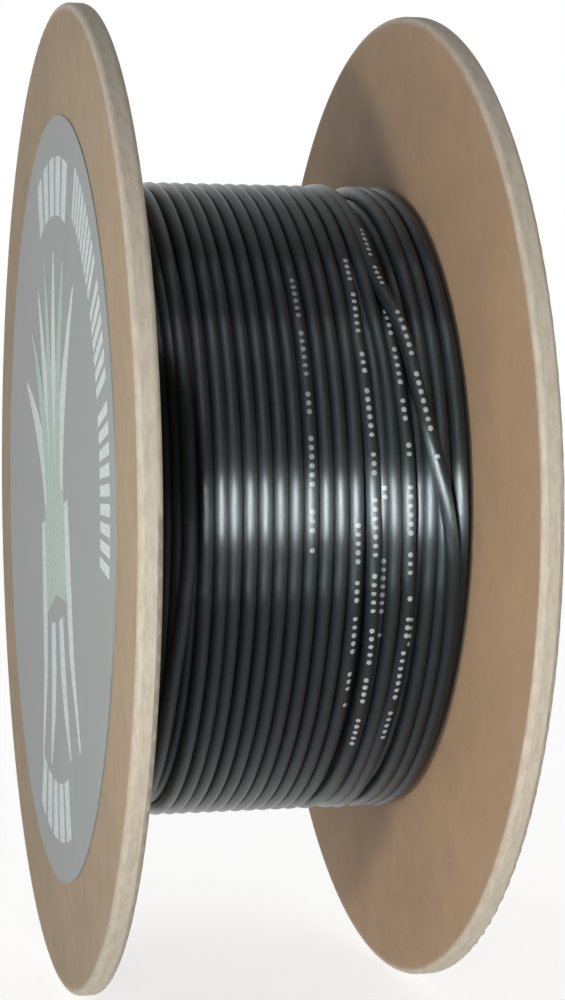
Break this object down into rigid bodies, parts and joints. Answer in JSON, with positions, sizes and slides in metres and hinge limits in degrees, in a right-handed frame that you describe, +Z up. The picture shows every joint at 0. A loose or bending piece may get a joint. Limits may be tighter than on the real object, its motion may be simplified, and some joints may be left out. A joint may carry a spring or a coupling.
{
  "type": "wire spool",
  "caption": "Flanged fibreboard spool wound with black insulated wire, round label on one flange, bore through the axis for a rod.",
  "frame": {"origin": "on the spool's axis, halfway between the flanges", "axes": "+X along the axis from the labelled flange to the plain flange, +Z up as the spool stands on its rims"},
  "size_m": [0.0584, 0.1524, 0.1524],
  "materials": {
    "fibreboard": "smooth pressed board with fine mottling, paler at the cut rim",
    "core_paper": "spiral wound kraft paper",
    "plug_wood": "raw sawn",
    "staple_steel": "galvanised",
    "label_film": "satin",
    "insulation": "smooth glossy PVC",
    "copper": "bright drawn copper"
  },
  "bodies": {
    "root": {"label_flange": "fibreboard", "plain_flange": "fibreboard", "core_tube": "core_paper", "label_side_plug": "plug_wood", "plain_side_plug": "plug_wood", "label_side_staples": "staple_steel", "plain_side_staples": "staple_steel", "label": "label_film", "wire_layer_1": "insulation", "wire_layer_2": "insulation", "wire_layer_3": "insulation", "wire_layer_4": "insulation", "wire_layer_5": "insulation", "wire_last_wrap": "insulation", "wire_start_lead": "insulation", "tail_strands": "copper", "start_strands": "copper"}
  },
  "joints": []
}
